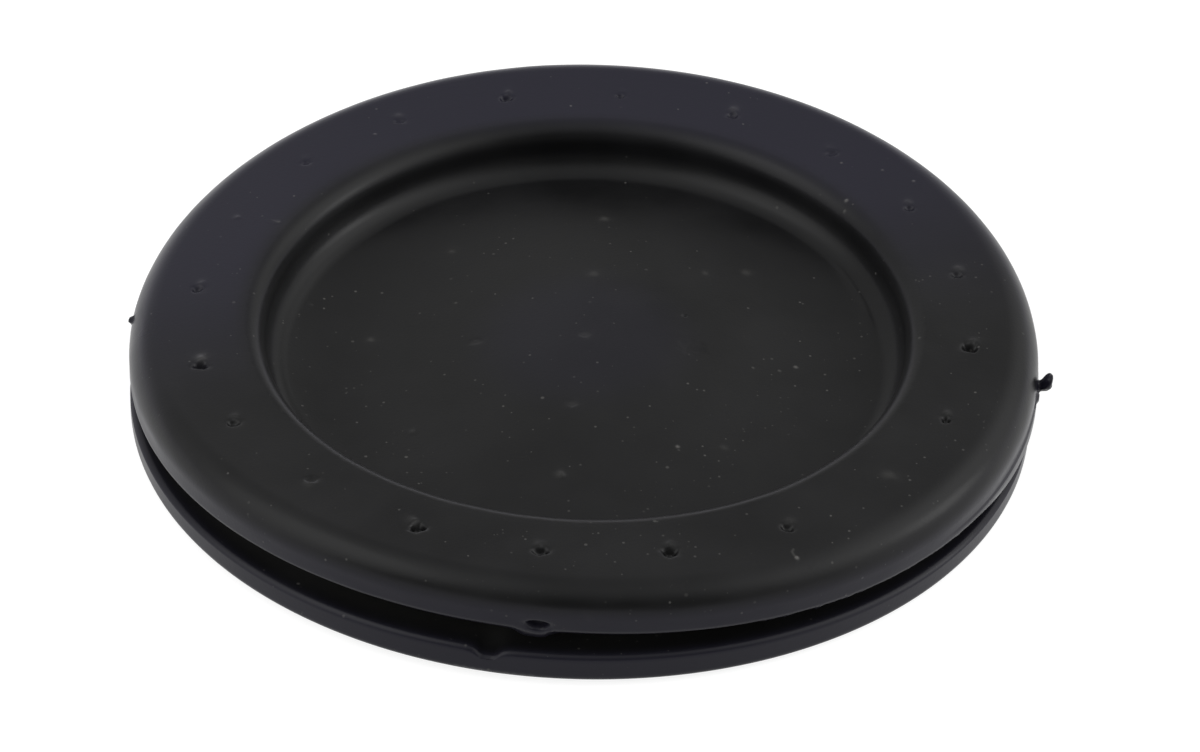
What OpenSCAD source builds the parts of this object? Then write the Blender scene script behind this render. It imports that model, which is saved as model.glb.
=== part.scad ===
// Blind rubber grommet: a round plug of moulded rubber that closes a hole in a thin panel.
// It stands on its lower flange, with the axis on Z and z = 0 at the resting face. Millimetres.

/* [Flanges] */
// Outer diameter of the upper flange
upper_d = 60; // [58:0.5:64]
// Thickness of the upper flange
upper_t = 3.6; // [3.2:0.1:4.4]
// Rounding of the upper flange's top outer edge
upper_edge_r = 1.5; // [0.8:0.1:1.6]
// Outer diameter of the lower flange
lower_d = 60; // [58:0.5:64]
// Thickness of the lower flange
lower_t = 2; // [1.6:0.1:3]
// Rounding of the other edges
small_edge_r = 0.35; // [0.2:0.05:0.6]

/* [Panel groove] */
// Width of the groove, which is the thickest panel that it takes
groove_w = 2; // [1:0.1:3]
// Diameter at the bottom of the groove, which is the panel's hole
groove_d = 50; // [48:0.5:54]
// Fillet in the groove's two corners
groove_r = 0.3; // [0.1:0.05:0.4]

/* [Recess and membrane] */
// Diameter of the recess's wall, above the membrane and below it
recess_d = 43; // [40:0.5:44]
// Depth of the recess at the foot of its wall
recess_depth = 3.6; // [3:0.1:4.2]
// Rounding of the recess's rim
rim_r = 1.2; // [0.6:0.1:1.6]
// Fillet between the recess's wall and the membrane
floor_r = 1; // [0.5:0.1:1.5]
// Thickness of the membrane
membrane_t = 1.5; // [1:0.1:1.8]
// Height of the membrane's middle above its edge
membrane_rise = 1.5; // [1:0.1:2.4]

/* [Moulding nibs] */
// Diameter of the ball that each nib is the cap of
nib_d = 1; // [0.8:0.1:1.4]
// How far a nib stands out
nib_h = 0.25; // [0.1:0.05:0.35]
// Number of nibs round the upper flange
flange_nibs = 20; // [8:1:24]
// Diameter of the circle that they stand on
flange_nib_circle = 51.4; // [50:0.2:54]
// Numbers of nibs in the two rings on the membrane
membrane_nibs = [8, 4]; // [2:1:12]
// Diameters of the circles of these two rings
membrane_nib_circles = [28.4, 14.4]; // [6:0.2:34]
// Turn of the whole nib pattern about the axis
nib_turn = -4.5; // [-9:0.5:9]

/* [Flash] */
// Length of the torn gate stub that stands out of the upper flange's side
stub_l = 0.9; // [0.3:0.1:0.9]
// Thickness of that stub
stub_d = 0.9; // [0.5:0.1:1.2]
// Angle of the stub about the axis
stub_turn = -4; // [-90:1:90]
// Width of the flap of flash that hangs at the front of the upper flange
flap_w = 1.8; // [1:0.1:3]
// Angle of the flap about the axis
flap_turn = -94; // [-180:1:0]
// Depth of the nick that its trimming left in the lower flange's edge
nick_h = 0.4; // [0.1:0.05:0.6]
// Angle of the nick about the axis
nick_turn = -100; // [-180:1:0]

/* [Hidden] */
$fn = 128;
ball_fn = 720;
small_fn = 32;
spare = 1;

height = lower_t + groove_w + upper_t;
upper_z = lower_t + groove_w;
recess_r = recess_d / 2;
foot_z = height - recess_depth;
foot_r = recess_r - floor_r;
// radius and centre height of the ball that the membrane's top is part of
dome_r = (foot_r * foot_r + membrane_rise * membrane_rise) / (2 * membrane_rise);
dome_z = foot_z + membrane_rise - dome_r;
nick_d = 2;
flap_d = 0.5;

function dome_top(r) = dome_z + sqrt(dome_r * dome_r - r * r);

// half section of a round plate of radius r and thickness t, with rounded outer edges
module plate_section(r, t, top_r, bottom_r) {
    square([r - top_r, t]);
    square([r - bottom_r, t - top_r]);
    translate([0, bottom_r]) square([r, t - top_r - bottom_r]);
    translate([r - top_r, t - top_r]) circle(top_r);
    translate([r - bottom_r, bottom_r]) circle(bottom_r);
}

// half section of the neck between the flanges, with filleted corners
module neck_section() {
    r = groove_d / 2;
    difference() {
        translate([0, lower_t / 2]) square([r + groove_r, upper_z]);
        translate([r, lower_t + groove_r]) square([spare, groove_w - 2 * groove_r]);
        for (z = [lower_t + groove_r, upper_z - groove_r])
            translate([r + groove_r, z]) circle(groove_r);
    }
}

// half section of the air in the upper recess, down to the domed membrane
module recess_section() {
    difference() {
        union() {
            translate([0, foot_z]) square([foot_r, recess_depth + spare]);
            translate([0, foot_z + floor_r]) square([recess_r, recess_depth]);
            translate([foot_r, foot_z + floor_r]) circle(floor_r);
            difference() {
                translate([foot_r, height - rim_r]) square([floor_r + rim_r, rim_r + spare]);
                translate([recess_r + rim_r, height - rim_r]) circle(rim_r);
            }
        }
        translate([0, dome_z]) circle(dome_r, $fn = ball_fn);
    }
}

// half section of the air under the membrane
module underside_section() {
    intersection() {
        translate([0, -spare]) square([recess_r, height]);
        translate([0, dome_z]) circle(dome_r - membrane_t, $fn = ball_fn);
    }
    difference() {
        translate([foot_r, -spare]) square([floor_r + small_edge_r, spare + small_edge_r]);
        translate([recess_r + small_edge_r, small_edge_r]) circle(small_edge_r);
    }
}

module body() {
    rotate_extrude() difference() {
        union() {
            plate_section(lower_d / 2, lower_t, small_edge_r, small_edge_r);
            neck_section();
            translate([0, upper_z]) plate_section(upper_d / 2, upper_t, upper_edge_r, small_edge_r);
        }
        recess_section();
        underside_section();
    }
}

// ball cap that stands nib_h out of a face at height z
module nib(r, turn, z) {
    rotate(turn) translate([r, 0, z + nib_h - nib_d / 2]) sphere(d = nib_d, $fn = small_fn);
}

module nibs() {
    for (i = [0 : flange_nibs - 1])
        nib(flange_nib_circle / 2, nib_turn + i * 360 / flange_nibs, height);
    for (ring = [0 : len(membrane_nibs) - 1], i = [0 : membrane_nibs[ring] - 1])
        nib(membrane_nib_circles[ring] / 2, nib_turn + i * 360 / membrane_nibs[ring],
            dome_top(membrane_nib_circles[ring] / 2));
    nib(0, 0, dome_top(0));
}

// stub left where the rubber entered the mould
module stub() {
    rotate(stub_turn) translate([upper_d / 2 - spare, 0, upper_z + upper_t / 3])
        rotate([0, 90, 0]) cylinder(d = stub_d, h = spare + stub_l, $fn = small_fn);
}

// flap of flash under the upper flange's edge
module flap() {
    rotate(flap_turn) translate([upper_d / 2 - flap_d / 2, 0, upper_z])
        rotate([90, 0, 0]) cylinder(d = flap_d, h = flap_w, center = true, $fn = small_fn);
}

// ball that cuts the nick out of the lower flange's top edge
module nick() {
    rotate(nick_turn) translate([lower_d / 2, 0, lower_t - nick_h + nick_d / 2])
        sphere(d = nick_d, $fn = small_fn);
}

module grommet() {
    color("#1d1d20") {
        difference() {
            body();
            nick();
        }
        nibs();
        stub();
        flap();
    }
}

grommet();
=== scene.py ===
import math
import random
import bpy
import numpy as np
from mathutils import Matrix, Vector, noise
from mathutils.geometry import delaunay_2d_cdt


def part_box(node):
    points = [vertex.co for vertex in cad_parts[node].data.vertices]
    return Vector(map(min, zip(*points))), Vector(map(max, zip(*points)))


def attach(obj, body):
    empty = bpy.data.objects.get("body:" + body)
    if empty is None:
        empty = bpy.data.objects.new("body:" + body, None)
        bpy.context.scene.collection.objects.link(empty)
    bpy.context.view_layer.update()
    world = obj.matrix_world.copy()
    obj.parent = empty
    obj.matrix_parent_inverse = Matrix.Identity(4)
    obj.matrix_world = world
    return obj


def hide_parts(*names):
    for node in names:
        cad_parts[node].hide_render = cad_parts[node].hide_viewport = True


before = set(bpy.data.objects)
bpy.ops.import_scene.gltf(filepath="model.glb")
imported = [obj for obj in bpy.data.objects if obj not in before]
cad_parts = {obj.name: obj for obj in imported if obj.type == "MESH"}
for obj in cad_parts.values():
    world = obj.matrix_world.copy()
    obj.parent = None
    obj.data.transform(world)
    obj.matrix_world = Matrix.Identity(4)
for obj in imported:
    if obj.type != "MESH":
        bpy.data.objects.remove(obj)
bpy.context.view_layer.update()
mm = 0.001
cadLow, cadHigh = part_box("grommet")
flangeRadius = (cadHigh.y - cadLow.y) / 2 / mm

# the moulding, in millimetres
moulding = {
    "upperThickness": 3.60,
    "lowerThickness": 2.01,
    "grooveWidth": 1.34,       # mean width; the soft flanges close it up at the sides
    "grooveRadius": 25.0,
    "grooveFillet": 0.3,
    "edgeRounding": 2.04,      # top outer edge of the upper flange
    "underRounding": 0.15,     # lower outer edge of the upper flange
    "underBevel": (0.48, 0.5),      # how far in and how high that edge is cut back
    "underChamfer": (0.08, 0.1),    # and how the cut ends on the underside
    "cornerRounding": 0.45,    # both edges of the lower flange
    "recessRadius": 21.4,
    "recessDepth": 3.35,
    "rimRounding": 1.35,
    "floorFillet": 1.6,
    "membraneThickness": 1.5,
    "membraneRise": 1.45,      # the middle stands this much above the membrane's foot
    "domePower": 2.7,          # how flat the membrane runs into its foot
    "pocketFillet": 0.6,       # under the membrane
    "lowerRadius": 29.90,      # the lower flange is a little smaller
    "lowerThinning": 0.24,     # its edge is thinner at the sides
}

# spacing of the mesh's points, in millimetres
grid = {
    "ringPoints": 360,
    "fineShare": 4,            # points along a fine span, for each ordinary one
    "roundStep": 0.15,
    "flatStep": 0.52,
    "sideStep": 0.1,
    "lipStep": 0.14,           # just inside the edges of the groove
    "lipWidth": 1.2,
    "wallStep": 0.3,
    "ceilingStep": 0.8,
    "undersideStep": 0.7,
    "grooveStep": 0.6,
    "stagger": 0.38,           # how far each free ring is turned on from the last
    "nibStep": 0.065,
    "nibCore": 0.6,            # dense at least to here, and to twice the nib's half width
    "nibReach": 1.35,
    "flawStep": 0.06,
    "flawReach": (0.8, 1.3),   # dense to the first radius, wider to the second
    "fineSpansAbove": [(-10, 2), (176, 183), (-104, -88), (-70, -30)],
    "fineSpansBelow": [(-104, -94)],
}


def line(start, end, step, free=False, fine=False):
    count = max(1, round(math.dist(start, end) / step))
    run, rise = end[0] - start[0], end[1] - start[1]
    return [(start[0] + run * i / count, start[1] + rise * i / count, free, fine) for i in range(count)]


def arc(centre, radius, fromDeg, toDeg, step, fine=False):
    count = max(3, round(abs(math.radians(toDeg - fromDeg)) * radius / step))
    turns = [math.radians(fromDeg + (toDeg - fromDeg) * i / count) for i in range(count)]
    return [(centre[0] + radius * math.cos(t), centre[1] + radius * math.sin(t), False, fine)
            for t in turns]


def flangeTop():
    return moulding["lowerThickness"] + moulding["grooveWidth"] + moulding["upperThickness"]


def domeLine(foot, height, step):
    # the membrane from the axis to its foot
    rise, power = moulding["membraneRise"], moulding["domePower"]
    count = round(foot / step)
    radii = [foot * i / count for i in range(count)]
    return [(r, height + rise * (1 - min(1, r / foot) ** 2) ** power, True, False) for r in radii]


def upperSection():
    # from the middle of the membrane, up the recess and over the flange, to the middle of the groove's root
    m = moulding
    wall, rim, edge, corner = m["recessRadius"], m["rimRounding"], m["edgeRounding"], m["underRounding"]
    outer, fillet, groove, root = flangeRadius, m["floorFillet"], m["grooveFillet"], m["grooveRadius"]
    top = flangeTop()
    floor, under = top - m["recessDepth"], top - m["upperThickness"]
    foot = wall - fillet
    flat, step, side = grid["flatStep"], grid["roundStep"], grid["sideStep"]
    points = domeLine(foot, floor, flat)
    points += arc((foot, floor + fillet), fillet, -90, 0, step)
    points += line((wall, floor + fillet), (wall, top - rim), grid["wallStep"])
    points += arc((wall + rim, top - rim), rim, 180, 90, step)
    points += line((wall + rim, top), (outer - edge, top), flat, free=True)
    points += arc((outer - edge, top - edge), edge, 90, 0, step)

    inward, high = m["underBevel"]
    chamferIn, chamferUp = m["underChamfer"]
    slope = math.degrees(math.atan2(inward, high))
    points += line((outer, top - edge), (outer, under + high + corner), side, fine=True)
    points += arc((outer - corner, under + high + corner), corner, 0, -slope, side, fine=True)
    bevelStart = outer - 0.02    # just inside the end of that small arc
    points += line((bevelStart, under + high), (outer - inward, under + chamferUp), side, fine=True)
    lip = outer - grid["lipWidth"]
    points += line((outer - inward - chamferIn, under), (lip, under), grid["lipStep"], fine=True)
    points += line((lip, under), (root + groove, under), flat, free=True)
    points += arc((root + groove, under - groove), groove, 90, 180, step)
    middle = under - m["grooveWidth"] / 2
    points += line((root, under - groove), (root, middle), grid["wallStep"])
    return points + [(root, middle, False, False)]


def lowerSection():
    # from the middle of the membrane's underside, round the lower flange, to the same place in the groove
    m = moulding
    wall, corner, outer = m["recessRadius"], m["cornerRounding"], m["lowerRadius"]
    fillet, groove, root = m["pocketFillet"], m["grooveFillet"], m["grooveRadius"]
    top = m["lowerThickness"]
    ceiling = flangeTop() - m["recessDepth"] - m["membraneThickness"]
    foot = wall - fillet
    step, side = grid["roundStep"], grid["sideStep"]
    points = domeLine(foot, ceiling, grid["ceilingStep"])
    points += arc((foot, ceiling - fillet), fillet, 90, 0, step)
    points += line((wall, ceiling - fillet), (wall, corner), grid["wallStep"])
    points += arc((wall + corner, corner), corner, 180, 270, step)
    points += line((wall + corner, 0), (outer - corner, 0), grid["undersideStep"], free=True)
    points += arc((outer - corner, corner), corner, 270, 360, side)
    points += line((outer, corner), (outer, top - corner), side, fine=True)
    points += arc((outer - corner, top - corner), corner, 0, 90, side, fine=True)
    lip = outer - grid["lipWidth"]
    points += line((outer - corner, top), (lip, top), grid["lipStep"], fine=True)
    points += line((lip, top), (root + groove, top), grid["grooveStep"], free=True)
    points += arc((root + groove, top + groove), groove, 270, 180, step)
    middle = top + m["grooveWidth"] / 2
    points += line((root, top + groove), (root, middle), grid["wallStep"])
    return points + [(root, middle, False, False)]


def ringTurns(spans):
    # angles of a ring's points in degrees, closer together inside the spans
    coarse = 360 / grid["ringPoints"]
    fine = coarse / grid["fineShare"]
    turns = [np.arange(grid["ringPoints"]) * coarse]
    turns += [np.arange(low, high, fine) for low, high in spans]
    return np.unique(np.round(np.concatenate(turns) % 360, 3))


def sectionLengths(section):
    table = np.array([(r, z) for r, z, free, fine in section])
    return table, np.concatenate([[0], np.cumsum(np.hypot(*np.diff(table, axis=0).T))])


def densePoints(core, reach, step):
    # rings round a mark: even inside the core, wider apart further out
    growth, widest = 1.35, 0.4
    points = [np.zeros((1, 2))]
    r, gap, k = step, step, 0
    while r <= reach:
        count = max(6, round(2 * math.pi * r / gap))
        a = (np.arange(count) + 0.5 * (k % 2)) * 2 * math.pi / count
        points.append(np.c_[r * np.cos(a), r * np.sin(a)])
        gap = step if r < core else min(gap * growth, widest)
        r, k = r + gap, k + 1
    return np.concatenate(points)


def unrolledSheet(section, patches, spans):
    # the section's length becomes the radius of a flat disc, which is meshed there and then rolled up again
    table, length = sectionLengths(section)
    coarse, fine = ringTurns([]), ringTurns(spans)
    flat = [np.zeros((1, 2))]
    for i in range(1, len(section)):
        r, z, isFree, isFine = section[i]
        if isFree:
            count = round(2 * math.pi * r / grid["flatStep"])
            turns = (np.arange(count) + grid["stagger"] * i) * 360 / count
        else:
            turns = fine if isFine else coarse
        a = np.radians(turns)
        flat.append(np.c_[length[i] * np.cos(a), length[i] * np.sin(a)])
    flat = np.concatenate(flat)
    clearance = 0.06
    for patch in patches:
        centre = patch["length"] * np.array([math.cos(patch["turn"]), math.sin(patch["turn"])])
        flat = flat[np.hypot(*(flat - centre).T) > patch["reach"] + clearance]
        flat = np.concatenate([flat, centre + densePoints(patch["core"], patch["reach"], patch["step"])])
    out = delaunay_2d_cdt([Vector(p) for p in flat], [], [], 0, 1e-6)
    flat = np.array([tuple(p) for p in out[0]])
    s, a = np.hypot(*flat.T), np.arctan2(flat[:, 1], flat[:, 0])
    r, z = np.interp(s, length, table[:, 0]), np.interp(s, length, table[:, 1])
    return r, z, a, s, [tuple(f) for f in out[2]]


dice = random.Random(7)

# torn nibs stand where the mould's air vents were, on one circle of the upper flange
flangeNibs = {
    "circle": 25.58,
    "firstTurn": -94.56,
    "between": 18,
    "strays": {3: 0.94, 15: 0.5, 16: 1.83, 17: -0.64},     # degrees off their places
    "moundBack": 0.30,         # the stump stands behind the place, the hole torn beside it in front
    "holeFront": 0.24,
    # anticlockwise from the front: stump height, its paleness, hole depth, half width, stretch, lean
    "shapes": [
        (0.08, 0.010, 0.46, 0.34, 1.40, 12), (0.09, 0.012, 0.60, 0.34, 1.05, 0),
        (0.08, 0.020, 0.34, 0.30, 1.20, -10), (0.07, 0.045, 0.00, 0.36, 1.50, -15),
        (0.08, 0.020, 0.38, 0.25, 1.00, -5), (0.09, 0.015, 0.60, 0.36, 1.10, -18),
        (0.09, 0.035, 0.26, 0.30, 1.30, -10), (0.08, 0.030, 0.24, 0.26, 1.20, 10),
        (0.05, 0.005, 0.15, 0.32, 1.50, 12), (0.10, 0.050, 0.26, 0.28, 1.20, -12),
        (0.04, 0.000, 0.22, 0.20, 1.40, -15), (0.08, 0.010, 0.38, 0.30, 1.20, -12),
        (0.06, 0.035, 0.14, 0.26, 1.50, 0), (0.03, 0.000, 0.12, 0.24, 1.20, 0),
        (0.05, 0.030, 0.00, 0.20, 1.30, 0), (0.07, 0.020, 0.30, 0.28, 1.10, -20),
        (0.13, 0.080, 0.56, 0.32, 1.15, 0), (0.07, 0.015, 0.30, 0.30, 1.30, -6),
        (0.06, 0.020, 0.12, 0.34, 1.25, 175), (0.09, 0.020, 0.60, 0.35, 1.15, 28)],
}

# smaller marks on the membrane: radius and direction of the place, height, half width, stretch, paleness
membraneMarks = {
    "places": [
        (14.60, 85.4, 0.04, 0.26, 1.1, 0.06), (7.10, 85.2, 0.04, 0.30, 1.2, 0.05),
        (14.20, 40.2, 0.04, 0.28, 1.1, 0.05), (14.10, 130.4, 0.04, 0.24, 1.3, 0.05),
        (14.15, 175.0, 0.04, 0.20, 1.2, 0.07), (11.68, 46.2, 0.03, 0.17, 1.0, 0.05),
        (7.06, 178.4, -0.05, 0.34, 1.2, 0.02), (7.17, -94.2, -0.08, 0.34, 1.1, 0.03),
        (0.14, 30.0, -0.06, 0.36, 1.1, 0.03), (14.25, -94.1, 0.12, 0.28, 1.1, 0.05),
        (14.13, -139.5, 0.06, 0.22, 1.1, 0.02), (14.22, -49.0, 0.05, 0.22, 1.4, 0.03),
        (7.36, -3.9, -0.05, 0.72, 1.2, 0.0), (7.38, 23.6, -0.10, 0.13, 1.3, 0.0)],
}

# the form that all the torn nibs share, in half widths unless a note says otherwise
tornForm = {
    "stumpBehind": 1.6,        # the stump falls away slowly behind and steeply in front
    "stumpBefore": 0.9,
    "stumpTorn": 0.5,          # unevenness of its height
    "outlineTorn": 0.3,
    "tearSize": 2.2,           # tears in a millimetre
    "holePower": 5,            # how steep the hole's wall is
    "paleReach": 0.85,
}

# lint that settled on the rubber: place in millimetres, half width, paleness
lint = {
    "specks": [
        (17.58, 13.88, 0.12, 0.22), (17.45, 13.15, 0.09, 0.12), (6.41, -11.03, 0.12, 0.20),
        (6.48, -11.35, 0.06, 0.10), (14.15, -1.08, 0.13, 0.20), (13.05, -1.75, 0.10, 0.10),
        (11.30, -1.85, 0.08, 0.12), (4.10, 8.05, 0.08, 0.08), (-8.60, 4.70, 0.10, 0.10),
        (-20.8, 9.2, 0.11, 0.10), (-14.9, 19.9, 0.10, 0.09), (22.2, 16.1, 0.09, 0.14),
        (20.1, 17.3, 0.08, 0.12), (-18.3, 4.6, 0.10, 0.10), (1.20, -29.95, 0.10, 0.12)],
    "speckHeight": 0.04,
    "speckReach": 0.5,         # how far round a speck the mesh is dense
    "fibre": [(13.62, -24.22), (13.54, -24.48), (13.66, -24.76), (13.83, -24.94)],
    "fibreWidth": 0.07,
    "fibreEnd": 0.12,          # the curled end
    "fibrePale": (0.07, 0.25),    # along it and at that end
    "fibreHeight": 0.2,        # per paleness
    "fibreReach": 1.1,
}


def nibList():
    nibs = []
    for i, (height, pale, hole, wide, stretch, along) in enumerate(flangeNibs["shapes"]):
        turn = flangeNibs["firstTurn"] + i * flangeNibs["between"] + flangeNibs["strays"].get(i, 0)
        nibs.append({"radius": flangeNibs["circle"], "turn": math.radians(turn),
                     "height": height, "hole": hole, "wide": wide, "stretch": stretch,
                     "along": math.radians(along), "pale": pale,
                     "moundBack": flangeNibs["moundBack"] if hole else 0,
                     "holeFront": flangeNibs["holeFront"], "seed": dice.uniform(0, 50)})
    for radius, turn, height, wide, stretch, pale in membraneMarks["places"]:
        nibs.append({"radius": radius, "turn": math.radians(turn),
                     "height": max(height, 0), "hole": max(-height, 0), "wide": wide, "stretch": stretch,
                     "along": 0.0, "pale": pale,
                     "moundBack": 0.0, "holeFront": 0.0, "seed": dice.uniform(0, 50)})
    return nibs


def nibLift(x, y, nib):
    # height and paleness of one torn nib: a low stump and, on its steep side, the hole that the tear left
    form = tornForm
    dx = x - nib["radius"] * math.cos(nib["turn"])
    dy = y - nib["radius"] * math.sin(nib["turn"])
    c, s = math.cos(nib["along"]), math.sin(nib["along"])
    across, back = dx * c + dy * s, dy * c - dx * s
    root = math.sqrt(nib["stretch"])
    size, seed = form["tearSize"], nib["seed"]
    torn = np.array([noise.noise((p * size + seed, q * size, seed)) for p, q in zip(dx, dy)])

    def reach(middle, behind, before):
        away = back - middle
        length = np.where(away > 0, behind, before) * nib["wide"] / root
        return np.hypot(across / (nib["wide"] * root), away / length) * (1 + form["outlineTorn"] * torn)

    stump = reach(nib["moundBack"], form["stumpBehind"], form["stumpBefore"])
    hole = reach(-nib["holeFront"], 1.0, 1.0)
    lift = nib["height"] * (1 + form["stumpTorn"] * torn) * np.exp(-stump ** 2)
    lift -= nib["hole"] / (1 + hole ** form["holePower"])
    return lift, nib["pale"] / (1 + ((stump if nib["height"] else hole) / form["paleReach"]) ** 3)


def fibreDistance(x, y):
    # distance to the fibre's nearest stretch, and to its curled end
    best = np.full(len(x), 9.0)
    for (x0, y0), (x1, y1) in zip(lint["fibre"], lint["fibre"][1:]):
        run, rise = x1 - x0, y1 - y0
        along = np.clip(((x - x0) * run + (y - y0) * rise) / math.dist((x0, y0), (x1, y1)) ** 2, 0, 1)
        best = np.minimum(best, np.hypot(x - x0 - along * run, y - y0 - along * rise))
    endX, endY = lint["fibre"][-1]
    return best, np.hypot(x - endX, y - endY)


# what the parting line of the mould left on the edge, placed by direction and height below the flange's top
edgeFlaws = {
    "sliver": {"turn": -7.1, "below": 2.6, "wide": 0.26, "tall": 0.42, "out": 0.22},
    "leftNib": {"turn": 179.2, "below": 1.45, "wide": 0.14, "tall": 0.26, "out": 0.28},
    "pit": {"turn": -93.9, "below": 2.82, "wide": 0.62, "tall": 0.26, "out": -0.75},
}
stub = {
    "turn": -5.3,
    "below": 2.55,
    "size": 0.60,
    "reach": 1.0,
    "lean": 0.85,
    "ragged": 0.35,
    # from its tip to its root: distance on the flat edge and width there, in sizes, and share of the reach
    "outline": [(0, 0, 1), (0.2, 0.5, 0.96), (0.42, 0.88, 0.8), (0.6, 0.95, 0.56), (0.75, 0.7, 0.3),
                (0.9, 0.6, 0.14), (1.0, 0.8, 0.03), (1.2, 1.2, 0)],
}
flap = {"turn": -94.4, "wide": 1.05, "down": 0.52}
nick = {"turn": -99.8, "wide": 0.72, "down": 0.6, "deep": 3.2}
burr = {
    "from": (-70, -64),
    "to": (-36, -30),
    "down": 0.256,
    "wave": 55,                # noise in a radian
    "fineWave": 140,
    "fineShare": 0.6,
}

# where the work on the flanges' edges takes hold, in millimetres
edgeZones = {
    "side": 0.9,               # the upper flange's side begins this far in
    "sideTop": 0.3,            # and this far down
    "roughness": 0.012,
    "roughGrain": (14, 1.3),   # noise in a radian and in a millimetre of height
    "lowerEdge": (0.1, 0.75),  # height above the underside where the flap and the burr are whole, and end
    "lowerEdgeWide": 1.6,
    "fullTurn": (0.75, 0.97),  # cosine of the direction: at the right the edge stands out, uncut
    "fullWide": (1.2, 0.5),    # how far in that begins, and is whole
    "fullHigh": 0.9,
    "fullOut": 0.22,
    "sinkBelow": (0.9, 0.1),   # under the lower flange's top, where its edge starts to sink, and is sunk
    "sinkWhole": 0.7,          # from the edge
}


def softPatch(u, v):
    return 1 / (1 + np.hypot(u, v) ** 6)


def turnDistance(a, turn):
    # millimetres along the outer edge from a direction
    return (np.degrees(a) - turn + 180) % 360 * math.pi / 180 * flangeRadius - math.pi * flangeRadius


def waves(terms, a):
    return sum(c * np.cos(n * a) + s * np.sin(n * a) for n, (c, s) in terms.items())


def blendStep(x, low, high):
    t = np.clip((x - low) / (high - low), 0, 1)
    return t * t * (3 - 2 * t)


# how the soft flanges hang: height at the edge = sum of a cos(n angle) + b sin(n angle)
droop = {
    "upper": {1: (0.234, 0.264), 2: (-0.582, 0.348), 3: (0.123, 0.036)},
    "lower": {2: (-0.186, 0.144)},
    "membrane": {1: (0.399, 0.056), 2: (-0.445, -0.077)},
    "membraneRadius": 14.2,    # where the membrane's numbers are measured
    "startRadius": 15.0,       # nearer the axis the flanges stay flat
}


def flex(r, a, z):
    # the hang of the flanges, and the membrane's uneven dome
    m = moulding
    share = np.clip((r - droop["startRadius"]) / (flangeRadius - droop["startRadius"]), 0, None) ** 2
    upper = blendStep(z, m["lowerThickness"], m["lowerThickness"] + m["grooveWidth"])
    lift = share * (upper * waves(droop["upper"], a) + (1 - upper) * waves(droop["lower"], a))
    foot = m["recessRadius"] - m["floorFillet"]
    at = droop["membraneRadius"]
    inside = np.clip(1 - (r / foot) ** 2, 0, None) / (1 - (at / foot) ** 2)
    for n, (c, s) in droop["membrane"].items():
        lift = lift + (r < foot) * inside * (r / at) ** n * (c * np.cos(n * a) + s * np.sin(n * a))
    return lift


def tornStub(r, z, a):
    # draws the flat edge round one place out into a blunt stub
    u = turnDistance(a, stub["turn"])
    v = z - flangeTop() + stub["below"]
    far = np.maximum(np.hypot(u, v) / stub["size"], 1e-6)
    steps, widths, reaches = zip(*stub["outline"])
    near = (far < steps[-1]) & (r > flangeRadius - edgeZones["side"])
    tears = np.array([noise.noise((p * 3, q * 3, 1.5)) for p, q in zip(u, v)])
    ragged = 1 + stub["ragged"] * tears * (far < 1)
    grow = np.interp(far, steps, widths) * ragged / far - 1
    out = np.interp(far, steps, reaches) * stub["reach"]
    return r + near * out, z + near * (v * grow + stub["lean"] * out), a + near * u * grow / flangeRadius


def edgeWork(r, z, a):
    # flaws of the upper flange's side and lower edge
    zones = edgeZones
    below = flangeTop() - z
    above = moulding["upperThickness"] - below    # over the flange's underside
    side = (r > flangeRadius - zones["side"]) & (below > zones["sideTop"])
    push = np.zeros(len(r))
    for flaw in edgeFlaws.values():
        u = turnDistance(a, flaw["turn"]) / flaw["wide"]
        push += flaw["out"] * softPatch(u, (below - flaw["below"]) / flaw["tall"])
    aroundGrain, heightGrain = zones["roughGrain"]
    rough = np.array([noise.noise((p * aroundGrain, q * heightGrain, 0.5)) for p, q in zip(a, z)])
    r = r + side * (push + zones["roughness"] * rough)

    atEdge = (1 - blendStep(above, *zones["lowerEdge"])) * (r > flangeRadius - zones["lowerEdgeWide"])
    sag = flap["down"] / (1 + np.abs(turnDistance(a, flap["turn"]) / flap["wide"]) ** 5)
    degrees = np.degrees(a)
    inBurr = blendStep(degrees, *burr["from"]) * (1 - blendStep(degrees, *burr["to"]))
    ragged = np.array([abs(noise.noise((p * burr["wave"], 2.0, 0.0))) for p in a])
    ragged += burr["fineShare"] * np.array([abs(noise.noise((p * burr["fineWave"], 7.0, 0.0))) for p in a])
    z = z - atEdge * (sag + burr["down"] * inBurr * ragged)

    outerStart, outerWhole = zones["fullWide"]
    full = (r > flangeRadius - outerStart) & (above < zones["fullHigh"])
    full = full * blendStep(np.cos(a), *zones["fullTurn"])
    full = full * blendStep(r, flangeRadius - outerStart, flangeRadius - outerWhole)
    r = r + full * np.clip(flangeRadius + zones["fullOut"] - r, 0, None)
    return tornStub(r, z, a)


def lowerEdgeWork(r, z, a):
    # the nick in the lower flange's top edge, running out towards the groove's root, and the thin sides
    t = turnDistance(a, nick["turn"])
    top, (starts, sunk) = moulding["lowerThickness"], edgeZones["sinkBelow"]
    high = blendStep(z, top - starts, top - sunk)
    out = blendStep(r, flangeRadius - nick["deep"], flangeRadius - edgeZones["sinkWhole"])
    thin = moulding["lowerThinning"] * (1 + np.cos(2 * a))
    return z - high * out * (thin + nick["down"] / (1 + np.abs(t / nick["wide"]) ** 4))


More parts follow.
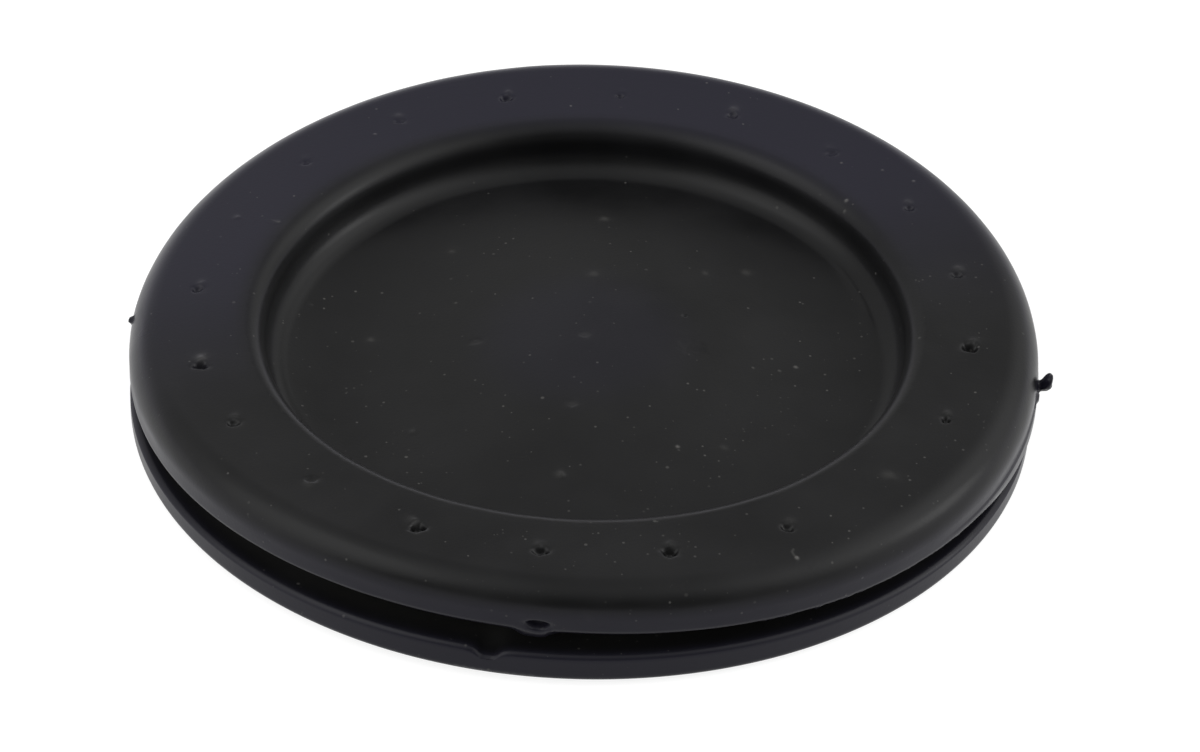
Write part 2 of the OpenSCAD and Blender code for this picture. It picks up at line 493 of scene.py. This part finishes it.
def sheetPatches(section, nibs):
    # where the top sheet is meshed densely: the nibs, the lint and the flaws of the edge
    table, length = sectionLengths(section)
    radii, heights = table.T
    wallIndex = int(np.argmax(radii >= moulding["recessRadius"] - 1e-6))
    edgeIndex = int(np.argmax(radii >= flangeRadius - 1e-6))
    side = radii >= flangeRadius - moulding["edgeRounding"]

    def placed(radius, turn, core, reach):
        span = slice(wallIndex, edgeIndex) if radius > moulding["recessRadius"] else slice(0, wallIndex)
        return {"length": np.interp(radius, radii[span], length[span]), "turn": turn,
                "core": core, "reach": reach, "step": grid["nibStep"]}

    patches = []
    for nib in nibs:
        core = max(grid["nibCore"], nib["wide"] * 2)
        patches.append(placed(nib["radius"], nib["turn"], core, grid["nibReach"]))
    reach = lint["speckReach"]
    for x, y, wide, pale in lint["specks"]:
        if math.hypot(x, y) < flangeRadius - moulding["edgeRounding"]:    # not on the side
            patches.append(placed(math.hypot(x, y), math.atan2(y, x), reach, reach))
    x, y = np.mean(lint["fibre"], axis=0)
    patches.append(placed(math.hypot(x, y), math.atan2(y, x), lint["fibreReach"], lint["fibreReach"]))
    core, reach = grid["flawReach"]
    for flaw in [*edgeFlaws.values(), stub]:
        at = np.interp(flaw["below"], heights[side].max() - heights[side], length[side])
        patches.append({"length": at, "turn": math.radians(flaw["turn"]),
                        "core": core, "reach": reach, "step": grid["flawStep"]})
    return patches


# what isn't round: the same kind of sum, outwards, and the radii between which it comes in and goes out
outOfRound = {
    "recess": {0: (-0.10, 0.0), 1: (0.23, -0.05), 2: (-0.14, 0.16), 3: (-0.03, -0.08)},
    "recessIn": (16.5, 19.5),
    "recessOut": (22.7, 24.4),
    "upperEdge": {0: (0.03, 0.0), 1: (0.12, 0.08)},
    "upperEdgeIn": (27, 29.4),
    "lowerEdge": {0: (0.01, 0.0), 1: (-0.07, 0.0), 2: (0.0, 0.02), 3: (0.07, 0.0)},
    "lowerEdgeIn": (25.5, 28.5),
    "rimRipple": (0.05, 0.4, 1.6),    # its height, how far outside the wall it is highest, how wide it is
}

# a crease in the membrane's foot at the right, between two directions in degrees
crease = {
    "from": (8, 14),
    "to": (30, 36),
    "middle": 22,
    "radius": 20.0,            # at the middle
    "spiral": 0.022,           # how much the radius grows in a degree
    "halfWidth": 0.16,
    "height": 0.055,
}


def recessWork(r, z, a):
    # the uneven rim of the recess, and the crease at the membrane's foot
    height, outside, wide = outOfRound["rimRipple"]
    ripple = np.array([noise.noise((p * 1.7, 4.0, 0.0)) for p in np.cos(a) * 3 + a])
    atRim = np.exp(-((r - moulding["recessRadius"] - outside) / wide) ** 2)
    degrees = np.degrees(a)
    along = blendStep(degrees, *crease["from"]) * (1 - blendStep(degrees, *crease["to"]))
    middle = crease["radius"] + crease["spiral"] * (degrees - crease["middle"])
    fold = along * np.exp(-((r - middle) / crease["halfWidth"]) ** 2)
    return z + height * atRim * ripple + crease["height"] * fold


def settledMarks(x, y, height, onTop, nibs):
    # adds the nibs, the specks and the fibre to the height, and gives how pale they are
    dustAndGlare = np.zeros(len(x))
    for nib in nibs:
        nibX, nibY = nib["radius"] * math.cos(nib["turn"]), nib["radius"] * math.sin(nib["turn"])
        near = (np.hypot(x - nibX, y - nibY) < grid["nibReach"]) & onTop
        lift, pale = nibLift(x[near], y[near], nib)
        height[near] += lift
        dustAndGlare[near] = np.maximum(dustAndGlare[near], pale)
    for px, py, wide, pale in lint["specks"]:
        amount = onTop / (1 + (np.hypot(x - px, y - py) / wide) ** 6)
        height += lint["speckHeight"] * amount
        dustAndGlare = np.maximum(dustAndGlare, pale * amount)
    strand, tip = fibreDistance(x, y)
    strandPale, tipPale = lint["fibrePale"]
    amount = np.maximum(strandPale / (1 + (strand / lint["fibreWidth"]) ** 6),
                        tipPale / (1 + (tip / lint["fibreEnd"]) ** 6))
    height += lint["fibreHeight"] * onTop * amount
    return height, np.maximum(dustAndGlare, onTop * amount)


# where the painted bluish sheen and the painted light in the groove lie; above and below count
# along the section from the outermost point, in millimetres
paintedLightPlaces = {
    "backTurn": 105,           # the middle of the painted sheen on the flange's back
    "backCosine": (-0.3, 0.5),    # cosine of the angle from there, from none to whole
    "backWide": 2.0,           # how slowly it comes in from the recess
    "middle": (0.35, 4, 9),    # painted sheen in the membrane's middle: amount, radius where it starts to fade and radius where it ends
    "side": 0.8,               # amount of painted sheen on the sides of both flanges
    "sideAbove": 1.2,
    "sideBelow": (0.2, 1.6),
    "grooveFrom": (1.5, 2.6),
    "grooveGlare": 0.10,        # painted light in the groove, lifting its shade: amount there
    "grooveGlareBelow": (1.0, 4.0),
}


def upperPaintedSheen(r, a, past):
    # painted bluish sheen on the flange's back, in the middle of the membrane and down the side; past
    # counts from the edge
    places, onTop = paintedLightPlaces, past < 0
    back = blendStep(np.cos(a - math.radians(places["backTurn"])), *places["backCosine"])
    back = back * blendStep(r, moulding["recessRadius"], moulding["recessRadius"] + places["backWide"])
    amount, near, far = places["middle"]
    paintedSheen = np.maximum(onTop * back, onTop * amount * (1 - blendStep(r, near, far)))
    return np.maximum(paintedSheen, places["side"] * blendStep(past, -places["sideAbove"], 0))


def upperSheet(section, nibs):
    r, z, a, s, faces = unrolledSheet(section, sheetPatches(section, nibs), grid["fineSpansAbove"])
    wall = blendStep(r, *outOfRound["recessIn"]) * (1 - blendStep(r, *outOfRound["recessOut"]))
    edge = blendStep(r, *outOfRound["upperEdgeIn"])
    r = r + wall * waves(outOfRound["recess"], a) + edge * waves(outOfRound["upperEdge"], a)
    edgeAt = s[np.argmax(r)]
    onTop = s < edgeAt
    edgeR, edgeZ, edgeA = edgeWork(r, z, a)
    x, y = edgeR * np.cos(edgeA), edgeR * np.sin(edgeA)
    height = edgeZ + flex(r, a, z)
    height = np.where(onTop, recessWork(r, height, a), height)
    height, dustAndGlare = settledMarks(x, y, height, onTop, nibs)
    past = s - edgeAt
    # painted light in the groove goes in with the pale marks; the painted sheen stops there
    inGroove = blendStep(past, *paintedLightPlaces["grooveFrom"])
    dustAndGlare = np.maximum(dustAndGlare, inGroove * paintedLightPlaces["grooveGlare"])
    paintedSheen = upperPaintedSheen(r, a, past) * (1 - inGroove)
    return {"points": np.c_[x, y, height], "a": a, "s": s, "faces": faces, "dustAndGlare": dustAndGlare, "paintedSheen": paintedSheen}


def lowerSheet(section):
    r, z, a, s, faces = unrolledSheet(section, [], grid["fineSpansBelow"])
    r = r + blendStep(r, *outOfRound["lowerEdgeIn"]) * waves(outOfRound["lowerEdge"], a)
    height = lowerEdgeWork(r, z, a) + flex(r, a, z)
    past = s - s[np.argmax(r)]
    # painted light in the groove, and painted sheen down the lower flange's side
    dustAndGlare = paintedLightPlaces["grooveGlare"] * blendStep(past, *paintedLightPlaces["grooveGlareBelow"])
    paintedSheen = paintedLightPlaces["side"] * (1 - blendStep(past, *paintedLightPlaces["sideBelow"]))
    points = np.c_[r * np.cos(a), r * np.sin(a), height]
    return {"points": points, "a": a, "s": s, "faces": faces, "dustAndGlare": dustAndGlare, "paintedSheen": paintedSheen}


def joinedSheets(top, bottom):
    # the two sheets meet on one ring, in the groove; the bottom one takes the top one's points there
    def lastRing(sheet):
        ring = np.flatnonzero(sheet["s"] > sheet["s"].max() - 1e-4)
        return {round(math.degrees(sheet["a"][i]) % 360, 1) % 360: i for i in ring}

    above, below = lastRing(top), lastRing(bottom)
    shared = {below[turn]: above[turn] for turn in below}
    own = [i for i in range(len(bottom["points"])) if i not in shared]
    place = {**shared, **{i: len(top["points"]) + k for k, i in enumerate(own)}}
    faces = top["faces"] + [(place[f[0]], place[f[2]], place[f[1]]) for f in bottom["faces"]]
    joined = {key: np.concatenate([top[key], bottom[key][own]]) for key in ("points", "dustAndGlare", "paintedSheen")}
    joined["points"][:, 2] -= joined["points"][:, 2].min()
    return joined, faces


def buildGrommet():
    top = upperSheet(upperSection(), nibList())
    bottom = lowerSheet(lowerSection())
    print("sheets:", len(top["points"]), "and", len(bottom["points"]), "points")
    joined, faces = joinedSheets(top, bottom)
    mesh = bpy.data.meshes.new("grommetMoulded")
    mesh.from_pydata((joined["points"] * mm).tolist(), [], faces)
    mesh.polygons.foreach_set("use_smooth", [True] * len(mesh.polygons))
    for name in ("dustAndGlare", "paintedSheen"):
        mesh.attributes.new(name, "FLOAT", "POINT").data.foreach_set("value", joined[name])
    mesh.update()
    grommet = bpy.data.objects.new("grommetMoulded", mesh)
    bpy.context.collection.objects.link(grommet)
    print("grommet:", len(mesh.vertices), "points,", len(mesh.polygons), "triangles")
    return grommet


def linear(hexColour):
    parts = [int(hexColour[i:i + 2], 16) / 255 for i in (1, 3, 5)]
    return [c / 12.92 if c <= 0.04045 else ((c + 0.055) / 1.055) ** 2.4 for c in parts] + [1]


def addNode(tree, kind, settings=None, inputs=None):
    node = tree.nodes.new(kind)
    for name, value in (settings or {}).items():
        setattr(node, name, value)
    for name, value in (inputs or {}).items():
        if isinstance(value, bpy.types.NodeSocket):
            tree.links.new(value, node.inputs[name])
        else:
            node.inputs[name].default_value = value
    return node


mouldedRubberLook = {
    "colour": "#121213",
    "greyer": "#171718",       # where the bloom of the rubber shows
    "paintedSheen": "#1e1d28",         # painted bluish sheen on the flange's back, the membrane's middle and the sides
    # pale colour of the lint, the dust and the nib marks, and of the painted light in the groove
    "dustAndGlare": "#9c9a96",
    "roughness": 0.32,
    "uneven": 0.05,            # how much the roughness wanders
    "specular": 0.175,
    "ior": 1.5,
    "bloomSize": 7.0,          # millimetres
    "grainSize": 0.22,         # coarser than the real skin of the mould, so that it shows
    "grainDepth": 0.006,
    "driftSize": 7.692308,     # millimetres from a dusty patch to a clean one
    "driftAmount": (0.15, 1.6),
    "backToFront": (12.0, -8.0),     # along y, and the amount of dust at each of the two
    "backToFrontAmount": (0.35, 1.0),
    # cell in millimetres, reach as a share of it, share of cells kept
    "speckCells": [(0.5, 0.24, 0.26), (1.3, 0.12, 0.75)],
    "smallestSpeck": 0.3,      # as a share of the largest
    "speckPale": (0.04, 0.14),    # the faintest, and how much more the palest has
    "dustDull": 0.8,           # roughness that whole dust adds
    "dustRaise": 4.0,          # dust stands this many grains' height above the skin
}


def mouldedRubber():
    # black rubber from a steel mould: carbon black takes nearly all light and leaves soft gloss and lint
    look = mouldedRubberLook
    material = bpy.data.materials.new("mouldedRubber")
    material.use_nodes = True
    tree = material.node_tree
    shader = tree.nodes["Principled BSDF"]
    shader.inputs["IOR"].default_value = look["ior"]
    shader.inputs["Specular IOR Level"].default_value = look["specular"]
    place = addNode(tree, "ShaderNodeTexCoord").outputs["Object"]
    inMm = addNode(tree, "ShaderNodeVectorMath", {"operation": "SCALE"}, {"Vector": place, "Scale": 1 / mm})
    inMm = inMm.outputs["Vector"]
    usual = {"From Min": 0.35, "From Max": 0.65}    # nearly all of a noise lies between these

    # bloom: cloudy, barely lighter patches
    bloom = addNode(tree, "ShaderNodeTexNoise", None,
                    {"Vector": inMm, "Scale": 1 / look["bloomSize"], "Detail": 3.0, "Roughness": 0.55})
    cloud = addNode(tree, "ShaderNodeMapRange", None, {"Value": bloom.outputs["Fac"], **usual})
    rubber = addNode(tree, "ShaderNodeMix", {"data_type": "RGBA"},
                     {0: cloud.outputs["Result"], 6: linear(look["colour"]), 7: linear(look["greyer"])})
    gloss = addNode(tree, "ShaderNodeMapRange", None,
                    {"Value": bloom.outputs["Fac"], "From Min": 0.3, "From Max": 0.7,
                     "To Min": look["roughness"] - look["uneven"],
                     "To Max": look["roughness"] + look["uneven"]})
    # the painted bluish sheen, mixed in over the rubber's own colour
    paintedSheen = addNode(tree, "ShaderNodeAttribute", {"attribute_name": "paintedSheen"}).outputs["Fac"]
    rubber = addNode(tree, "ShaderNodeMix", {"data_type": "RGBA"},
                     {0: paintedSheen, 6: rubber.outputs[2], 7: linear(look["paintedSheen"])})

    # lint and dust: pale specks, thicker on the front half of the membrane and where the noise lets them
    parts = addNode(tree, "ShaderNodeSeparateXYZ", None, {"Vector": inMm})
    (back, front), (atBack, atFront) = look["backToFront"], look["backToFrontAmount"]
    toFront = addNode(tree, "ShaderNodeMapRange", None,
                      {"Value": parts.outputs["Y"], "From Min": back, "From Max": front,
                       "To Min": atBack, "To Max": atFront})
    drift = addNode(tree, "ShaderNodeTexNoise", None,
                    {"Vector": inMm, "Scale": 1 / look["driftSize"], "Detail": 2.0})
    least, most = look["driftAmount"]
    drifted = addNode(tree, "ShaderNodeMapRange", None,
                      {"Value": drift.outputs["Fac"], **usual, "To Min": least, "To Max": most})
    share = addNode(tree, "ShaderNodeMath", {"operation": "MULTIPLY"},
                    {0: toFront.outputs["Result"], 1: drifted.outputs["Result"]}).outputs[0]
    # the mesh's pale marks: nibs, lint and fibre, and the painted light in the groove
    marks = addNode(tree, "ShaderNodeAttribute", {"attribute_name": "dustAndGlare"}).outputs["Fac"]
    smallest, (faintest, morePale) = look["smallestSpeck"], look["speckPale"]
    for cell, reach, kept in look["speckCells"]:
        cells = addNode(tree, "ShaderNodeTexVoronoi", None,
                        {"Vector": inMm, "Scale": 1 / cell, "Randomness": 1.0})
        chance = addNode(tree, "ShaderNodeSeparateColor", None, {"Color": cells.outputs["Color"]})
        limit = addNode(tree, "ShaderNodeMath", {"operation": "MULTIPLY"}, {0: share, 1: kept})
        isKept = addNode(tree, "ShaderNodeMath", {"operation": "LESS_THAN"},
                         {0: chance.outputs["Red"], 1: limit.outputs[0]})
        size = addNode(tree, "ShaderNodeMath", {"operation": "MULTIPLY_ADD"},
                       {0: chance.outputs["Green"], 1: reach * (1 - smallest), 2: reach * smallest})
        edge = addNode(tree, "ShaderNodeMath", {"operation": "DIVIDE"},
                       {0: cells.outputs["Distance"], 1: size.outputs[0]})
        dot = addNode(tree, "ShaderNodeMapRange", None,
                      {"Value": edge.outputs[0], "From Min": 1.0, "From Max": 0.5})
        strength = addNode(tree, "ShaderNodeMath", {"operation": "MULTIPLY_ADD"},
                           {0: chance.outputs["Blue"], 1: morePale, 2: faintest})
        shown = dot.outputs["Result"]
        for factor in (isKept, strength):
            shown = addNode(tree, "ShaderNodeMath", {"operation": "MULTIPLY"},
                            {0: shown, 1: factor.outputs[0]}).outputs[0]
        marks = addNode(tree, "ShaderNodeMath", {"operation": "MAXIMUM"}, {0: marks, 1: shown}).outputs[0]
    colour = addNode(tree, "ShaderNodeMix", {"data_type": "RGBA"},
                     {0: marks, 6: rubber.outputs[2], 7: linear(look["dustAndGlare"])})
    tree.links.new(colour.outputs[2], shader.inputs["Base Color"])
    dull = addNode(tree, "ShaderNodeMath", {"operation": "MULTIPLY_ADD", "use_clamp": True},
                   {0: marks, 1: look["dustDull"], 2: gloss.outputs["Result"]})
    tree.links.new(dull.outputs[0], shader.inputs["Roughness"])

    # the fine skin left by the mould
    grain = addNode(tree, "ShaderNodeTexNoise", None,
                    {"Vector": inMm, "Scale": 1 / look["grainSize"], "Detail": 2.0, "Roughness": 0.6})
    raised = addNode(tree, "ShaderNodeMath", {"operation": "MULTIPLY_ADD"},
                     {0: marks, 1: look["dustRaise"], 2: grain.outputs["Fac"]})
    bump = addNode(tree, "ShaderNodeBump", None,
                   {"Height": raised.outputs[0], "Distance": look["grainDepth"] * mm, "Strength": 1.0})
    tree.links.new(bump.outputs["Normal"], shader.inputs["Normal"])
    print("moulded rubber:", len(tree.nodes), "nodes")
    return material


studio = {
    "floorSize": 4.0,
    "floorColour": "#8c8c8c",
    "floorGlow": 0.86,
    "sky": ("#fffffd", 0.60),      # low down
    "skyTop": ("#fafff8", 0.18),
    "horizon": ("#eae6ff", 0.74),  # added low down, except on the side where the camera stands
    "front": 0.39,                 # taken away on that side
    # where each of these comes in: the part of a direction that counts, from none to all
    "frontSide": ("Y", -0.15, -0.85),
    "frontLow": ("Z", 0.95, 0.4),
    "atHorizon": ("Z", 0.22, 0.0),
    # direction, elevation, how narrow, colour, strength; the last one is a dark place
    "windows": [(-10, 38, 7.6, "#ffffff", 2.0), (203, 54, 4.3, "#ffffff", 1.38),
                (88, 42, 7, "#fbf9fb", 0.38), (36, 41, 18, "#ffffff", 1.1),
                (86, 28.5, 60, "#ffffff", -0.51)],
    # name, direction, elevation, half angle, brightness
    "lamps": [("lampRight", 7, 21.7, 10.1, 3.0), ("lampLeft", 201, 33.3, 28.0, 0.81)],
    "lampDistance": 1.2,
}


def whiteFloor():
    # matt white painted board; the light path glow keeps it white where the eye or a gloss sees it
    bpy.ops.mesh.primitive_plane_add(size=studio["floorSize"])
    floor = bpy.context.object
    floor.name = "studioFloor"
    material = bpy.data.materials.new("paintedBoard")
    material.use_nodes = True
    tree = material.node_tree
    shader = tree.nodes["Principled BSDF"]
    shader.inputs["Base Color"].default_value = linear(studio["floorColour"])
    shader.inputs["Roughness"].default_value = 1.0
    shader.inputs["Specular IOR Level"].default_value = 0.0
    path = addNode(tree, "ShaderNodeLightPath").outputs
    seen = path["Is Camera Ray"]
    for ray in ("Is Glossy Ray", "Is Transmission Ray"):
        seen = addNode(tree, "ShaderNodeMath", {"operation": "MAXIMUM"}, {0: seen, 1: path[ray]}).outputs[0]
    glow = addNode(tree, "ShaderNodeMath", {"operation": "MULTIPLY"}, {0: seen, 1: studio["floorGlow"]})
    shader.inputs["Emission Color"].default_value = (1, 1, 1, 1)
    tree.links.new(glow.outputs[0], shader.inputs["Emission Strength"])
    floor.data.materials.append(material)


def towards(turn, elevation):
    a, e = math.radians(turn), math.radians(elevation)
    return Vector((math.cos(a) * math.cos(e), math.sin(a) * math.cos(e), math.sin(e)))


def softLamp(name, turn, elevation, halfAngle, brightness):
    radius = studio["lampDistance"] * math.tan(math.radians(halfAngle))
    data = bpy.data.lights.new(name, "AREA")
    data.shape = "DISK"
    data.size = 2 * radius
    data.energy = brightness * math.pi * math.pi * radius ** 2
    light = bpy.data.objects.new(name, data)
    away = towards(turn, elevation)
    light.location = away * studio["lampDistance"]
    light.rotation_mode = "QUATERNION"
    light.rotation_quaternion = away.to_track_quat("Z", "Y")
    bpy.context.collection.objects.link(light)


def glowOf(colour, strength):
    return Vector(linear(colour)[:3]) * strength


def studioWorld():
    # a pale room: brighter and bluer low down, darker behind the camera, with a few soft windows
    world = bpy.data.worlds.new("studioWorld")
    world.use_nodes = True
    bpy.context.scene.world = world
    tree = world.node_tree
    way = addNode(tree, "ShaderNodeTexCoord").outputs["Generated"]
    parts = addNode(tree, "ShaderNodeSeparateXYZ", None, {"Vector": way}).outputs
    height = addNode(tree, "ShaderNodeMath", {"operation": "MAXIMUM"}, {0: parts["Z"], 1: 0.0}).outputs[0]
    fades = {}
    for name in ("frontSide", "frontLow", "atHorizon"):
        axis, none, whole = studio[name]
        fades[name] = addNode(tree, "ShaderNodeMapRange", {"interpolation_type": "SMOOTHSTEP"},
                              {"Value": parts[axis], "From Min": none, "From Max": whole}).outputs["Result"]
    shade = addNode(tree, "ShaderNodeMath", {"operation": "MULTIPLY"},
                    {0: fades["frontSide"], 1: fades["frontLow"]}).outputs[0]
    back = addNode(tree, "ShaderNodeMath", {"operation": "SUBTRACT"}, {0: 1.0, 1: fades["frontSide"]})
    glow = addNode(tree, "ShaderNodeMath", {"operation": "MULTIPLY"},
                   {0: fades["atHorizon"], 1: back.outputs[0]}).outputs[0]

    layers = [(height, glowOf(*studio["skyTop"]) - glowOf(*studio["sky"])),
              (shade, glowOf("#ffffff", -studio["front"])), (glow, glowOf(*studio["horizon"]))]
    for turn, elevation, narrow, colour, strength in studio["windows"]:
        near = addNode(tree, "ShaderNodeVectorMath", {"operation": "DOT_PRODUCT"},
                       {0: way, 1: towards(turn, elevation)}).outputs["Value"]
        for operation, other in (("MAXIMUM", 0.0), ("POWER", narrow)):
            near = addNode(tree, "ShaderNodeMath", {"operation": operation}, {0: near, 1: other}).outputs[0]
        layers.append((near, glowOf(colour, strength)))
    level = glowOf(*studio["sky"])
    for amount, colour in layers:
        level = addNode(tree, "ShaderNodeVectorMath", {"operation": "MULTIPLY_ADD"},
                        {0: amount, 1: colour, 2: level}).outputs["Vector"]
    level = addNode(tree, "ShaderNodeVectorMath", {"operation": "MAXIMUM"}, {0: level, 1: (0, 0, 0)})
    tree.links.new(level.outputs["Vector"], tree.nodes["Background"].inputs["Color"])


view = {
    "aim": (1.245, -7.129, 7.17),    # millimetres
    "distance": 324.6,
    "elevation": 36.555,
    "roll": 2.102,
    "lens": 150.34,
    "sensor": 36,
    "clip": (0.01, 20),        # metres
}


def placeCamera():
    e, roll = math.radians(view["elevation"]), math.radians(view["roll"])
    ahead = Vector((0, math.cos(e), -math.sin(e)))
    up = Vector((0, math.sin(e), math.cos(e)))
    right = Vector((1, 0, 0))
    side = right * math.cos(roll) + up * math.sin(roll)
    over = up * math.cos(roll) - right * math.sin(roll)
    data = bpy.data.cameras.new("camera")
    data.lens = view["lens"]
    data.sensor_width = view["sensor"]
    data.clip_start, data.clip_end = view["clip"]
    camera = bpy.data.objects.new("camera", data)
    place = Vector(view["aim"]) * mm - ahead * view["distance"] * mm
    camera.matrix_world = Matrix.Translation(place) @ Matrix((side, over, -ahead)).transposed().to_4x4()
    bpy.context.collection.objects.link(camera)
    bpy.context.scene.camera = camera
    print("camera:", view["distance"], "mm away, lens", view["lens"])


placeCamera()
piece = buildGrommet()
piece.data.materials.append(mouldedRubber())
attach(piece, "root")
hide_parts("grommet")
whiteFloor()
studioWorld()
for lamp in studio["lamps"]:
    softLamp(*lamp)
print("studio: floor, world and", len(studio["lamps"]), "lamps")
bpy.context.scene.view_settings.view_transform = "Standard"
